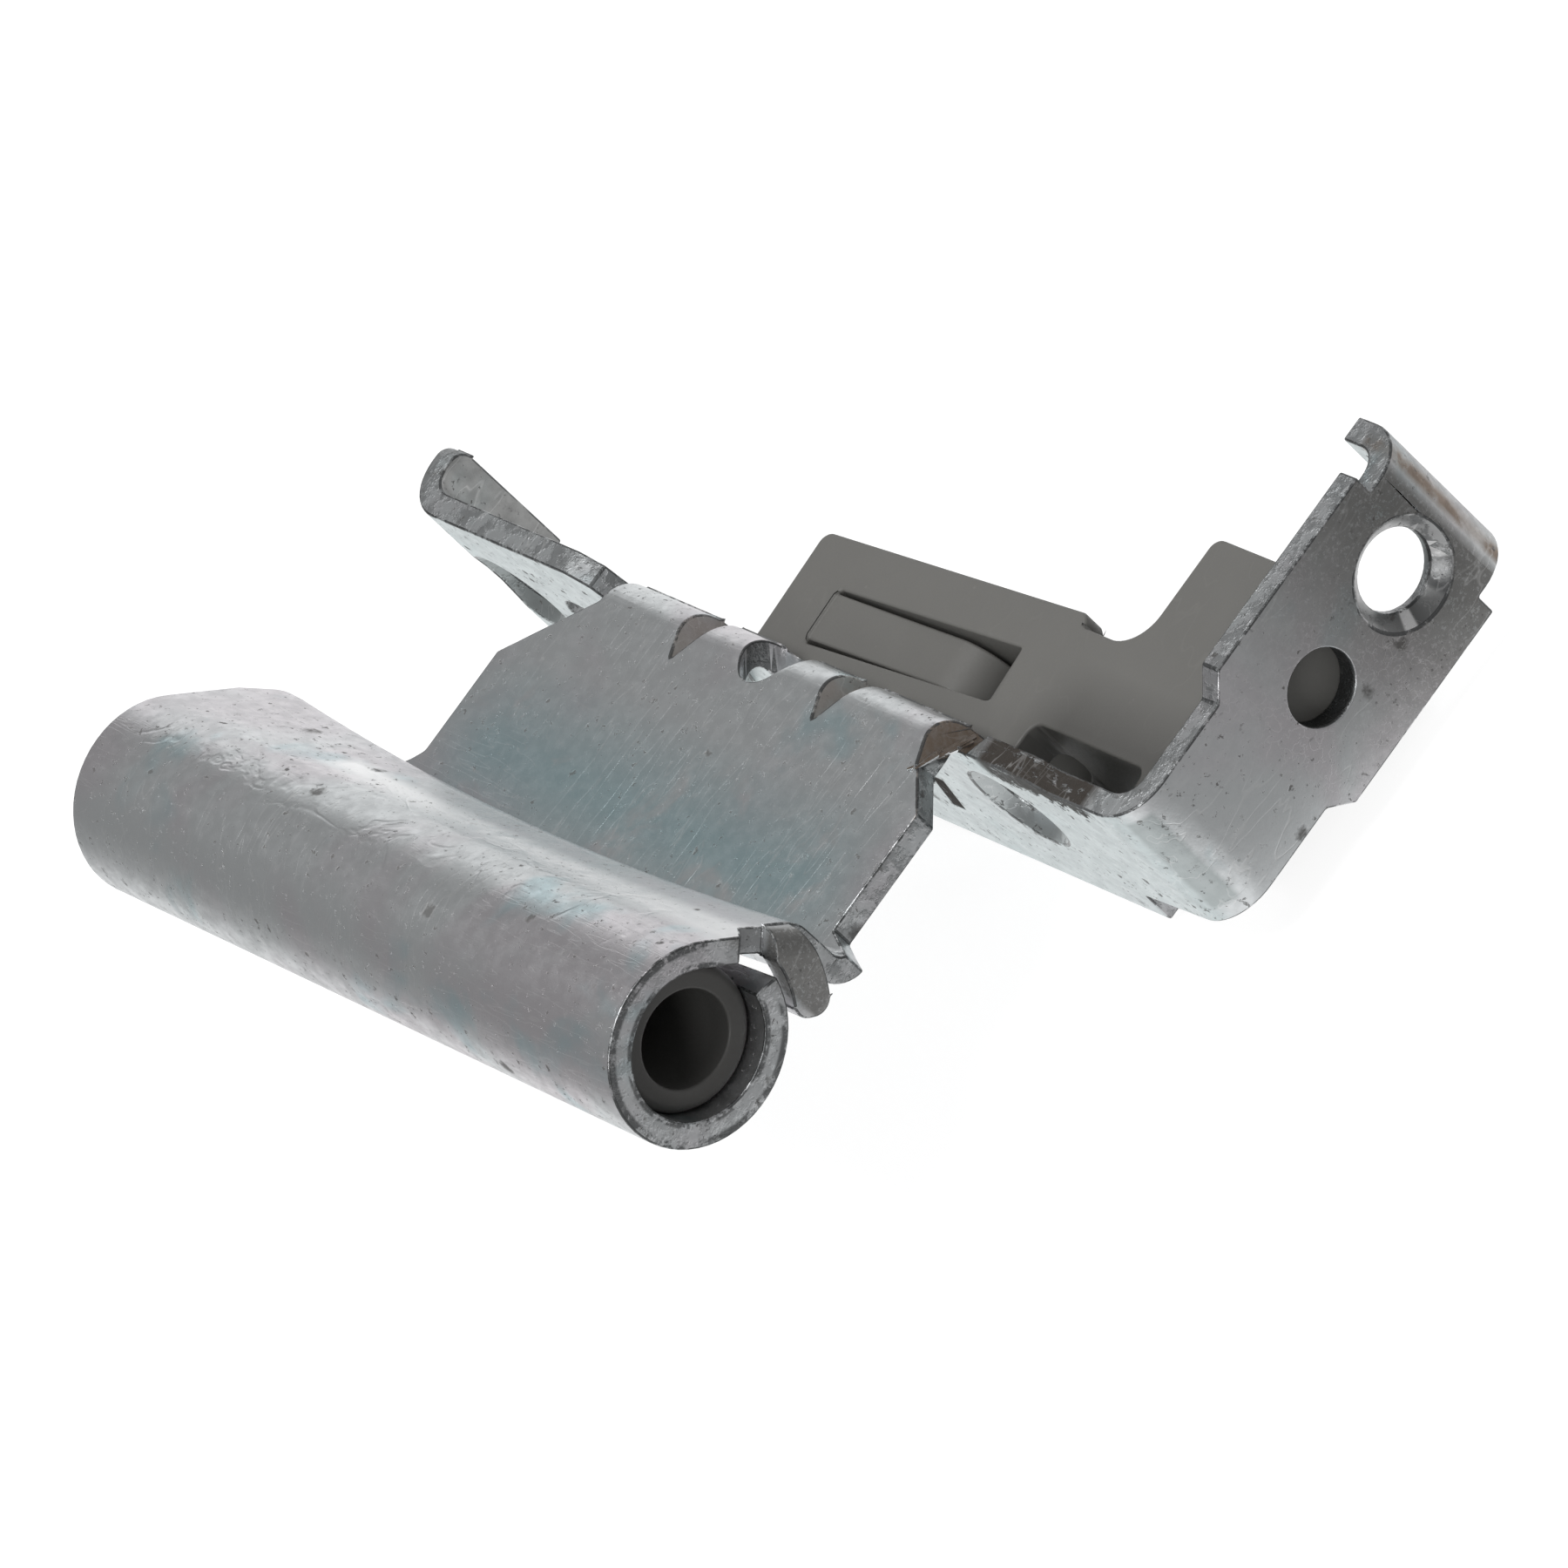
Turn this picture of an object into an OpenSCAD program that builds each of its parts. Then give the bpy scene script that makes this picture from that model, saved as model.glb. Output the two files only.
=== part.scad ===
// Window corner hinge: a rolled barrel on a folded plate that wraps the corner of a sash,
// with a plastic bush in the barrel and a plastic block in the corner of the plate.
// X runs along the pin, Z points out of the leaf, and the origin is on the pin axis at mid length.

/* [Sheet] */
// Thickness of the steel sheet
sheet_t = 2; // [1.5:0.1:2.5]
// Inner radius of the tight folds beside the leaf
fold_r = 1; // [0.8:0.1:1.2]
// Inner radius of the folds at the wing and at the two end lips
wing_fold_r = 2; // [1.5:0.1:2.5]
// Inner radius of the shallow fold at the top of the barrel wall
flare_fold_r = 0.5; // [0.4:0.1:1]

/* [Barrel] */
// Length of the barrel along the pin
barrel_len = 70; // [66:0.5:74]
// Radius of the bore that the bush sits in
barrel_bore_r = 5.5; // [5.3:0.05:5.6]
// Angle between the flare and the leaf
flare_angle = 50; // [48:1:52]
// Angle below the leaf direction at which the rolled edge ends
roll_end_angle = 15; // [8:1:20]
// Distance from the pin axis to the outer face of the barrel wall
wall_y = 11.6; // [11.4:0.1:12]
// Depth of the leaf face below the pin axis
leaf_depth = 7.3; // [7:0.1:7.8]
// Length of barrel that stands past the near edge of the wall
barrel_stand = 1.9; // [1.6:0.1:2.2]
// Length of flare that stays on the standing end of the barrel
lip_of_roll = 2.9; // [2:0.1:3.2]

/* [Hook tab] */
// Radial gap between the barrel and the hook tab
hook_gap = 0.6; // [0.4:0.1:0.8]
// Radial width of the hook tab
hook_w = 3; // [2.6:0.1:3.2]
// Place along the flare at which the hook tab is rooted
hook_root = 6.1; // [5.6:0.1:6.4]
// Angle below the leaf direction that the hook tab reaches
hook_reach = 44; // [35:1:44]
// Radius on the two corners of the hook tab
hook_corner_r = 1.3; // [0.8:0.1:1.4]
// Depth of the slit between the barrel and the hook tab
notch_depth = 2.3; // [2:0.1:3]
// Width of that slit
notch_w = 3; // [2:0.1:3.2]

/* [Leaf] */
// Place of the near edge of the leaf along the pin
leaf_near_x = 30; // [29:0.5:31]
// Place of the far edge of the leaf along the pin
leaf_far_x = -22.1; // [-23:0.1:-21]
// Length of the slanting corner at the far end of the leaf root
far_chamfer = 6.5; // [5.5:0.5:7.5]
// Length of the slanting corner at the near end of the leaf root
near_chamfer = 3.4; // [2.5:0.1:4]
// Slanting corner at the far end of the flare
flare_corner = 2.4; // [1:0.1:3]
// Length of the straight edge of the leaf root at its near end
near_root = 4.7; // [4:0.1:5.5]
// Length of the straight edge of the leaf root at its far end
far_root = 3; // [3:0.1:4]
// Reach of the foot beyond the wall at the ends of the wall
foot_w = 0.5; // [0.3:0.1:0.9]
// Extra reach of the foot beside the leaf
foot_rise = 1.5; // [1.2:0.1:1.8]

/* [Stiffening darts] */
// Place of the first dart along the pin
dart_x = -4.5; // [-6:0.5:-3]
// Distance from the first dart to the middle dart
dart_pitch = 18; // [16:0.5:19]
// Distance from the near edge of the leaf root to the last dart
dart_near_in = 0; // [-0.5:0.1:0.1]
// Width of a dart at the crest of the bend
dart_w = 5; // [4:0.5:6]
// Distance from the crest to each tip of a dart
dart_reach = 5; // [4:0.5:6]
// Radius of the hole pierced through the crest
crest_hole_r = 2.9; // [2.5:0.1:3.2]

/* [Strip] */
// Distance from the pin axis to the outer face of the strip
strip_y = 29.5; // [28.5:0.5:31]
// Place of the far end of the strip along the pin
strip_far_x = -43.8; // [-46:0.1:-43]
// Depth of the front edge of the strip below the pin axis
strip_front_z = 10; // [9.5:0.1:10.5]
// Depth of the back edge of the strip below the pin axis
strip_back_z = 28; // [27:0.5:30]
// Place along the pin at which the front edge of the near arm steps down to the wing
tear_x = 33.5; // [32:0.5:35]
// Length of that step
tear_len = 2.5; // [1.5:0.1:3.5]
// Place along the pin at which the full width of the strip ends before the wing
tail_x = 33.8; // [33:0.1:35]
// Step in the back edge of the strip before the wing
tail_step = 3; // [2.5:0.1:3.5]
// Extra width of the far arm towards the front
far_arm_step = 2; // [1:0.5:2.5]
// Depth of the relief between the far arm and the leaf root, below the front edge
relief_depth = 1.6; // [1.2:0.1:2.2]
// Length of that relief
relief_len = 2.4; // [1.5:0.1:3]
// Height of the lip at the far end, over its outer face
far_lip_h = 5.7; // [5:0.1:7]
// Width of the lip at the far end
far_lip_w = 12.3; // [10:0.1:14]
// Radius on the front corner of the far lip
lip_corner_r = 1.3; // [0.8:0.1:1.6]

/* [Wing] */
// Place of the outer face of the wing along the pin
wing_x = 46; // [45:0.5:48]
// Distance from the pin axis to the tip of the wing
wing_tip_y = 63.5; // [62.5:0.5:65]
// Depth of the front edge of the wing neck
neck_front_z = 10.8; // [10:0.1:11.5]
// Depth of the back edge of the wing neck
neck_back_z = 23.9; // [23:0.1:25]
// Extra width of the wing head on each side of the neck
head_step = 1.8; // [1:0.1:2.2]
// Distance from the pin axis to the shoulder of the wing head
head_y = 42; // [41:0.1:43]
// Height of the lip at the tip of the wing, over its outer face
wing_lip_h = 6.1; // [5:0.1:7]
// Width of the lip at the tip of the wing
wing_lip_w = 13.2; // [11:0.1:13.5]
// Depth of the front edge of that lip
wing_lip_z = 10.7; // [10:0.1:11.2]
// Distance from the wing tip to the shoulders beside its lip
lip_shoulder = 4.8; // [4.2:0.1:5.2]

/* [Screw holes] */
// Depth of the line of screw holes below the pin axis
hole_z = 17.3; // [17:0.1:18]
// Radius of the screw holes
screw_r = 3.1; // [2.6:0.1:3.2]
// Radius of the countersink at the outer face
sink_r = 4.3; // [3.9:0.1:4.5]
// Radius of the plain locating holes
plain_r = 2.9; // [2.5:0.1:3.1]
// Place of the near countersunk hole of the strip along the pin
near_screw_x = 26; // [25:0.5:27]
// Distance between the two countersunk holes of the strip
screw_span = 63.7; // [62:0.1:64]
// Distance from the near countersunk hole to the plain hole beside it
near_plain_gap = 14.6; // [13:0.1:16]
// Distance from the far countersunk hole to the plain hole beside it
far_plain_gap = 10.1; // [9:0.1:12]
// Distance from the wing tip to its countersunk hole
wing_screw_in = 7.4; // [7:0.1:8]
// Distance between the countersunk and the plain hole of the wing
wing_hole_gap = 9.9; // [9:0.1:10.5]

/* [Bush] */
// Radius of the bore for the hinge pin
pin_bore_r = 3.6; // [3:0.1:4]
// Radial clearance of the bush in the barrel
bush_fit = 0.05; // [0.02:0.01:0.1]
// Depth of each end of the bush inside the barrel
bush_recess = 1.6; // [1:0.1:2.5]
// Size of the slope on the outer edge of the bush
bush_chamfer = 0.5; // [0.3:0.1:0.8]

/* [Corner block] */
// Depth of the front face of the block below the pin axis
block_front_z = 12; // [11.5:0.1:13]
// Depth of the block from front to back
block_deep = 11; // [10:0.5:12]
// Length of the leg along the strip
strip_leg = 48.8; // [46:0.1:50]
// Height of the leg along the strip, at the near end of its raised stretch
strip_leg_h = 11.6; // [10.5:0.1:12]
// Step down from the raised stretch of that leg
raised_leg_h = 1.1; // [0.6:0.1:1.4]
// Length of the raised stretch
raised_leg = 31.3; // [28:0.1:32]
// Angle at which the raised stretch and its pocket fall towards the far end
leg_tilt = 3.4; // [2:0.1:4]
// Height of the leg along the wing
wing_leg = 20.3; // [19:0.1:21]
// Width of the leg along the wing
wing_leg_w = 11; // [10.5:0.1:12]
// Radius of the rounded outer corners of the block
block_r = 1; // [0.6:0.1:1.4]
// Radius of the fillet between the two legs
crotch_r = 3; // [2:0.5:4]
// Gap between the block and the steel
block_gap = 0.05; // [0.02:0.01:0.1]
// Distance from the far end of the block to the tongue's pocket
pocket_in = 5.9; // [4:0.1:7]
// Length of the pocket
pocket_len = 21.5; // [19:0.5:23]
// Width of the pocket
pocket_w = 4.6; // [4:0.1:5.5]
// Distance from the strip to the pocket
pocket_off = 1.5; // [1.2:0.1:2.5]
// Depth of the pocket
pocket_deep = 8; // [6:0.5:9]
// Length of the tongue in the pocket
tongue_len = 17.5; // [15:0.5:18]
// Depth of the free end of the tongue below the face
tongue_dip = 1; // [0.5:0.1:2]
// Radius of the free end of the tongue
tongue_tip_r = 4; // [3:0.5:5]
// Radius of the upper corners of the relief under the block
arch_r = 1; // [0.6:0.1:1.4]
// Gap on each side of the tongue
tongue_side_gap = 0.3; // [0.2:0.05:0.5]
// Distance from the wing to the relief under the block
arch_in = 2; // [1.5:0.1:3]
// Length of the relief under the block
arch_len = 13.5; // [11:0.5:14]
// Height of the relief under the block
arch_h = 2.7; // [1.8:0.1:3]

/* [Hidden] */
$fn = 96;
eps = 0.01;
far = 200;

barrel_r = barrel_bore_r + sheet_t;
barrel_far_x = -barrel_len / 2;
barrel_near_x = barrel_len / 2;
wall_near_x = barrel_near_x - barrel_stand;
roll_start_angle = 90 - flare_angle;
strip_back_y = strip_y + sheet_t;

// Straight stretches between the folds of the section that runs from the roll to the strip
flare_run = (wall_y - barrel_r * cos(roll_start_angle)) / sin(roll_start_angle);
flare_end_z = barrel_r * sin(roll_start_angle) - flare_run * cos(roll_start_angle);
flare_set = (flare_fold_r + sheet_t) * tan(roll_start_angle / 2);
flare_flat = flare_run - flare_set;
wall_flat = leaf_depth + flare_end_z - flare_set - fold_r;
leaf_flat = strip_back_y - wall_y - fold_r - (fold_r + sheet_t);
crest_end_z = leaf_depth + fold_r + sheet_t;

// Seats of the block on the strip and on the wing
seat_x = wing_x - sheet_t - block_gap;
seat_y = strip_back_y + block_gap;
block_far_x = seat_x - strip_leg;
pocket_x = block_far_x + pocket_in;
pocket_y = seat_y + pocket_off;
arch_x = seat_x - arch_in - arch_len;

// Ends of the leaf root and reach of the wide folds
root_far_x = leaf_far_x + far_chamfer;
root_near_x = leaf_near_x - near_chamfer;
lip_set = wing_fold_r + sheet_t;
whole_darts = [dart_x, dart_x + dart_pitch];
edge_dart_x = root_near_x - dart_near_in;

module sector(r_in, r_out, a0, a1) {
    mid = (a0 + a1) / 2;
    half = (a1 - a0) / 2;
    intersection() {
        difference() {
            circle(r_out);
            circle(r_in);
        }
        rotate(mid)
            polygon([[0, 0], [far * cos(half), -far * sin(half)], [far * cos(half), far * sin(half)]]);
    }
}

// Draws folded sheet from a list of [flat length, turn, inner radius]; a left turn is positive
module fold(steps, i = 0) {
    if (i < len(steps)) {
        flat = steps[i][0];
        turn = steps[i][1];
        r = steps[i][2];
        translate([-eps, 0]) square([flat + 2 * eps, sheet_t]);
        translate([flat, 0]) {
            if (turn > 0) translate([0, sheet_t + r]) {
                sector(r, r + sheet_t, -90, turn - 90);
                rotate(turn) translate([0, -sheet_t - r]) fold(steps, i + 1);
            }
            if (turn < 0) translate([0, -r]) {
                sector(r, r + sheet_t, 90 + turn, 90);
                rotate(turn) translate([0, r]) fold(steps, i + 1);
            }
        }
    }
}

// Stands a drawing of Y and Z up, and runs it along X
module along_x(x0, x1) {
    translate([x0, 0, 0]) rotate([90, 0, 90]) linear_extrude(x1 - x0) children();
}

// Stands a drawing of X and Z up, and runs it along Y
module along_y(y0, y1) {
    translate([0, y1, 0]) rotate([90, 0, 0]) linear_extrude(y1 - y0) children();
}

// Puts a drawing whose x follows the flare and whose y leaves it at the start of the flare's outer face
module at_flare() {
    rotate(roll_start_angle) translate([barrel_r, 0]) rotate(-90) children();
}

module roll() {
    along_x(barrel_far_x, barrel_near_x) {
        difference() {
            circle(barrel_r);
            circle(barrel_bore_r);
            sector(0, far, -roll_end_angle, roll_start_angle);
        }
        at_flare() translate([-eps, -sheet_t]) square([hook_root, sheet_t]);
    }
}

module run_section() {
    at_flare() translate([0, -sheet_t]) fold([
        [flare_flat, -roll_start_angle, flare_fold_r],
        [wall_flat, 90, fold_r],
        [leaf_flat, -90, fold_r],
        [strip_front_z - crest_end_z + 1, 0, 0]
    ]);
}

// Outline of the flare, the foot and the leaf, seen from above
module leaf_outline() {
    foot_y = wall_y + foot_w;
    polygon([
        [barrel_far_x, 0],
        [wall_near_x, 0],
        [wall_near_x, foot_y],
        [leaf_near_x, foot_y + foot_rise],
        [leaf_near_x, strip_back_y - near_chamfer - near_root],
        [root_near_x, strip_back_y - near_root],
        [root_near_x, strip_back_y + eps],
        [root_far_x, strip_back_y + eps],
        [root_far_x, strip_back_y - far_root],
        [leaf_far_x, strip_back_y - far_root - far_chamfer],
        [leaf_far_x, foot_y + foot_rise],
        [leaf_far_x - foot_rise, foot_y],
        [barrel_far_x + flare_corner, foot_y],
        [barrel_far_x, foot_y - flare_corner]
    ]);
}

module leaf_and_wall() {
    intersection() {
        along_x(barrel_far_x, barrel_near_x) run_section();
        linear_extrude(far, center = true) leaf_outline();
    }
}

module strip_outline() {
    arm_z = -strip_front_z + far_arm_step;
    relief_z = -strip_front_z - relief_depth;
    relief_x = root_far_x - relief_len;
    polygon([
        [strip_far_x, arm_z],
        [leaf_far_x, arm_z],
        [relief_x - relief_depth, arm_z - relief_depth / 2],
        [relief_x, relief_z],
        [root_far_x, relief_z],
        [root_far_x, -strip_front_z + eps],
        [tear_x, -strip_front_z + eps],
        [tear_x + tear_len, -neck_front_z],
        [wing_x, -neck_front_z],
        [wing_x, -neck_back_z],
        [tail_x, -strip_back_z + tail_step],
        [tail_x, -strip_back_z],
        [strip_far_x, -strip_back_z]
    ]);
}

module wing_outline() {
    tip = wing_tip_y + eps;
    shoulder = wing_tip_y - lip_shoulder;
    head_foot_y = head_y - head_step;
    polygon([
        [strip_y - 1, -neck_front_z],
        [head_foot_y, -neck_front_z],
        [head_y, -neck_front_z + head_step],
        [shoulder, -neck_front_z + head_step],
        [shoulder, -wing_lip_z],
        [tip, -wing_lip_z],
        [tip, -wing_lip_z - wing_lip_w],
        [shoulder, -wing_lip_z - wing_lip_w],
        [shoulder, -neck_back_z - head_step],
        [head_y, -neck_back_z - head_step],
        [head_foot_y, -neck_back_z],
        [strip_y - 1, -neck_back_z]
    ]);
}

module strip_and_wing() {
    strip_flat = wing_x - strip_far_x - 2 * lip_set;
    wing_flat = wing_tip_y - strip_y - 2 * lip_set;
    intersection() {
        translate([0, 0, -far / 2]) linear_extrude(far)
            translate([strip_far_x, strip_y + far_lip_h]) rotate(-90) fold([
                [far_lip_h - lip_set, 90, wing_fold_r],
                [strip_flat, 90, wing_fold_r],
                [wing_flat, 90, wing_fold_r],
                [wing_lip_h - lip_set, 0, 0]
            ]);
        union() {
            along_y(strip_y - 1, strip_y + far_lip_h + 1) strip_outline();
            along_x(wing_x - lip_set - wing_lip_h, wing_x + 1) wing_outline();
        }
    }
}

// Cuts the far lip to its width, and rounds its front corner
module far_lip_trim() {
    lip_front_z = far_arm_step - strip_front_z;
    along_x(strip_far_x - 1, strip_far_x + sheet_t + 1) {
        translate([strip_y - 1, -strip_back_z - 1])
            square([far_lip_h + 2, strip_back_z + 1 + lip_front_z - far_lip_w]);
        soft_corner(strip_y + far_lip_h, lip_front_z, -1, -1, lip_corner_r);
    }
}

// A dart is a groove pressed in across the crest, so its valley lies on the 45 degree chord
module dart_prism(x, apex, w_per_h, cut_len) {
    translate([x, strip_back_y, -leaf_depth]) rotate([-45, 0, 0])
        translate([0, 0, -apex]) rotate([90, 0, 0])
            linear_extrude(cut_len, center = true)
                polygon([[0, 0], [20 * w_per_h, 20], [-20 * w_per_h, 20]]);
}

module darts_back() {
    valley = dart_reach / sqrt(2);
    slope = dart_w / 2 / valley;
    back = valley + sheet_t / sin(atan(slope));
    intersection() {
        union() for (x = whole_darts) dart_prism(x, back, slope, 30);
        translate([root_far_x, strip_back_y - 12, -leaf_depth - 12])
            cube([root_near_x - root_far_x, 12 - sheet_t / 2, 12 - sheet_t / 2]);
    }
}

module dart_grooves() {
    valley = dart_reach / sqrt(2);
    slope = dart_w / 2 / valley;
    for (x = [each whole_darts, edge_dart_x]) dart_prism(x, valley, slope, 30);
}

module crest_hole() {
    translate([dart_x + dart_pitch / 2, strip_back_y - 1, -leaf_depth - 1]) rotate([-45, 0, 0])
        cylinder(r = crest_hole_r, h = 20, center = true);
}

module sunk_hole() {
    translate([0, 0, -1]) cylinder(r = screw_r, h = sheet_t + 2);
    sink = sink_r - screw_r;
    translate([0, 0, -eps]) cylinder(r1 = sink_r + eps, r2 = screw_r, h = sink + eps);
}

module strip_holes() {
    for (x = [near_screw_x, near_screw_x - screw_span])
        translate([x, strip_y, -hole_z]) rotate([-90, 0, 0]) sunk_hole();
    for (x = [near_screw_x - near_plain_gap, near_screw_x - screw_span + far_plain_gap])
        translate([x, strip_y - 1, -hole_z]) rotate([-90, 0, 0]) cylinder(r = plain_r, h = sheet_t + 2);
}

module wing_holes() {
    translate([wing_x, wing_tip_y - wing_screw_in, -hole_z]) rotate([0, -90, 0]) sunk_hole();
    translate([wing_x + 1, wing_tip_y - wing_screw_in - wing_hole_gap, -hole_z]) rotate([0, -90, 0])
        cylinder(r = plain_r, h = sheet_t + 2);
}

// The tab leaves the near edge of the flare in a rounded fold, and hangs down round the barrel
module hook_tab() {
    r_in = barrel_r + hook_gap;
    r_out = r_in + hook_w;
    c = hook_corner_r;
    fold_out = sheet_t;
    difference() {
        along_x(wall_near_x - eps, barrel_near_x) difference() {
            union() {
                sector(r_in, r_out, tab_end_angle(r_out, c), 30);
                sector(tangent_r(r_in + c, c), tangent_r(r_out - c, c), -hook_reach, 0);
                for (r = [r_in + c, r_out - c]) rotate(tab_end_angle(r, c)) translate([r, 0]) circle(c);
            }
            at_flare() translate([-far / 2, 0]) square([far, far]);
            at_flare() translate([-far, -sheet_t - 1]) square([far + hook_root, far]);
        }
        rotate([roll_start_angle, 0, 0]) linear_extrude(far, center = true)
            translate([barrel_near_x - fold_out, barrel_r - fold_out]) difference() {
                square(fold_out + 1);
                circle(fold_out);
            }
    }
}

// Angle of the centre of a round corner whose circle touches the end of the tab, and where it touches
function tab_end_angle(r, c) = asin(c / r) - hook_reach;
function tangent_r(r, c) = sqrt(r * r - c * c);

// Slanting slit that parts the standing end of the roll from the tab
module notch() {
    rotate([-flare_angle, 0, 0]) translate([0, 0, barrel_bore_r - 1]) linear_extrude(sheet_t + 2)
        polygon([
            [barrel_near_x + 1, lip_of_roll],
            [barrel_near_x, lip_of_roll],
            [barrel_near_x - notch_depth, lip_of_roll + notch_w / 2],
            [wall_near_x, hook_root],
            [barrel_near_x + 1, hook_root]
        ]);
}

module hinge_plate() {
    color([0.72, 0.74, 0.75]) difference() {
        union() {
            roll();
            leaf_and_wall();
            strip_and_wing();
            darts_back();
            hook_tab();
        }
        notch();
        dart_grooves();
        crest_hole();
        strip_holes();
        wing_holes();
        far_lip_trim();
    }
}

module bush() {
    r = barrel_bore_r - bush_fit;
    half = barrel_len / 2 - bush_recess;
    color([0.42, 0.42, 0.41]) rotate([0, 90, 0]) rotate_extrude()
        polygon([
            [pin_bore_r, -half], [r - bush_chamfer, -half], [r, -half + bush_chamfer],
            [r, half - bush_chamfer], [r - bush_chamfer, half], [pin_bore_r, half]
        ]);
}

// Rectangle with chosen corners rounded: [low left, low right, high right, high left]
module soft_rect(x0, y0, x1, y1, r) {
    difference() {
        translate([x0, y0]) square([x1 - x0, y1 - y0]);
        soft_corner(x0, y0, 1, 1, r[0]);
        soft_corner(x1, y0, -1, 1, r[1]);
        soft_corner(x1, y1, -1, -1, r[2]);
        soft_corner(x0, y1, 1, -1, r[3]);
    }
}

// What a round corner of radius r takes away at (x, y); sx and sy point into the shape
module soft_corner(x, y, sx, sy, r) {
    if (r > 0) translate([x, y]) scale([sx, sy]) difference() {
        translate([-1, -1]) square(r + 1);
        translate([r, r]) circle(r);
    }
}

module block_outline() {
    leg_top = seat_y + strip_leg_h;
    low_top = leg_top - raised_leg_h;
    leg_x = seat_x - wing_leg_w;
    raised_end = block_far_x + raised_leg;
    far_h = strip_leg_h * cos(leg_tilt) - raised_leg * sin(leg_tilt);
    soft_rect(block_far_x + far_h * sin(leg_tilt), seat_y, seat_x, seat_y + far_h / 2, [0, lip_set, 0, 0]);
    soft_rect(raised_end - block_r, seat_y + lip_set, seat_x, low_top, [0, 0, 0, 0]);
    translate([raised_end, leg_top]) rotate(leg_tilt)
        soft_rect(-raised_leg, -far_h, 0, 0, [0, 0, block_r, block_r]);
    soft_rect(leg_x, seat_y + lip_set, seat_x, seat_y + wing_leg, [0, 0, block_r, block_r]);
    translate([leg_x, low_top]) soft_corner(0, 0, -1, 1, crotch_r);
}

// Moulded tongue that springs in its pocket: it leaves the face at its far end and dips to the near end
module tongue_section() {
    polygon([
        [0, 0],
        [tongue_len - tongue_tip_r, -tongue_dip],
        [tongue_len - tongue_tip_r, -pocket_deep],
        [0, -pocket_deep]
    ]);
    intersection() {
        translate([tongue_len - tongue_tip_r, -tongue_dip - tongue_tip_r]) union() {
            circle(tongue_tip_r);
            translate([0, -far]) square([tongue_tip_r, far]);
        }
        translate([tongue_len - tongue_tip_r - eps, -pocket_deep]) square([far, pocket_deep]);
    }
}

module corner_block() {
    front = -block_front_z;
    color([0.46, 0.46, 0.44]) difference() {
        translate([0, 0, front - block_deep]) linear_extrude(block_deep) block_outline();
        translate([pocket_x, pocket_y, front]) rotate(leg_tilt) difference() {
            translate([0, 0, -pocket_deep]) cube([pocket_len, pocket_w, pocket_deep + 1]);
            translate([-eps, 0, 0]) along_y(tongue_side_gap, pocket_w - tongue_side_gap) tongue_section();
        }
        translate([near_screw_x, seat_y - 1, -hole_z]) rotate([-90, 0, 0])
            cylinder(r = screw_r, h = strip_leg_h + 2);
        translate([0, 0, front - block_deep - 1]) linear_extrude(block_deep + 2)
            soft_rect(arch_x, seat_y - 1, arch_x + arch_len, seat_y + arch_h, [0, 0, arch_r, arch_r]);
    }
}

hinge_plate();
bush();
corner_block();
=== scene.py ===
import math

import bmesh
import bpy
from bpy.props import FloatProperty, FloatVectorProperty, IntProperty, PointerProperty
from mathutils import Matrix, Vector, noise
from mathutils.bvhtree import BVHTree


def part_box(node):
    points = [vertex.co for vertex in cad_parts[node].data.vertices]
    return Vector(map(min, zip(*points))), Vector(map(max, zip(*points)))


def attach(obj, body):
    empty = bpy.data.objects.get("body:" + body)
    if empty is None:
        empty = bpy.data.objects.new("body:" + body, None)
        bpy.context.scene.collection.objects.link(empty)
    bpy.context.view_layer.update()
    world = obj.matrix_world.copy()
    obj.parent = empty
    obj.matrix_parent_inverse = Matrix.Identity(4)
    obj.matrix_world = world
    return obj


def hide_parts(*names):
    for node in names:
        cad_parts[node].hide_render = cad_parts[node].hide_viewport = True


bl_info = {
    "name": "Window corner hinge",
    "version": (1, 0, 0),
    "blender": (4, 5, 0),
    "location": "3D View > Sidebar > Hinge",
    "description": "Looks of a zinc-plated window corner hinge, over its CAD solids",
    "category": "Object",
}

MM = 0.001
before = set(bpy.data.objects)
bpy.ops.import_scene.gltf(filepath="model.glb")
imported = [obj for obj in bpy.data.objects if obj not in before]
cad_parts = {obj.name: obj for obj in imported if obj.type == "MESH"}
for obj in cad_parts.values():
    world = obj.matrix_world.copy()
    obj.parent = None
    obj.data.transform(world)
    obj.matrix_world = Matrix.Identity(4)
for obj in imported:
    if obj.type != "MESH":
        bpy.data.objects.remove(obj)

# The slit on the strip's outer face, in mm: its height range, its direction across, and its place along that
SLIT_LOW, SLIT_HIGH = -23.0, -18.4
SLIT_ACROSS = (0.92, 0.0, -0.39)
SLIT_AT = 0.92 * 13.7 + 0.39 * 20.7

# Painted reflection: darkness of the countersink round its axis, as (part of a turn, level)
CONE_REFLECTION_SECTORS = ((0.02, 0.8), (0.097, 0.8), (0.105, 0.0), (0.139, 0.0), (0.146, 0.9), (0.26, 0.75), (0.28, 0.95),
                (0.40, 0.85), (0.42, 0.0), (0.58, 0.0), (0.605, 0.6))

# Cooler tint of the strip's outer face, and cooler, darker painted shade on its countersinks
STRIP_TINT, SINK_SHADE_TINT = (0.54, 0.62, 0.625), (0.40, 0.44, 0.44)

# The torn line under the near dart, in mm
TEAR_START, TEAR_END = (26.4, 27.5, -8.0), (26.1, 31.2, -10.5)


# Sizes and colours


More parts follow.
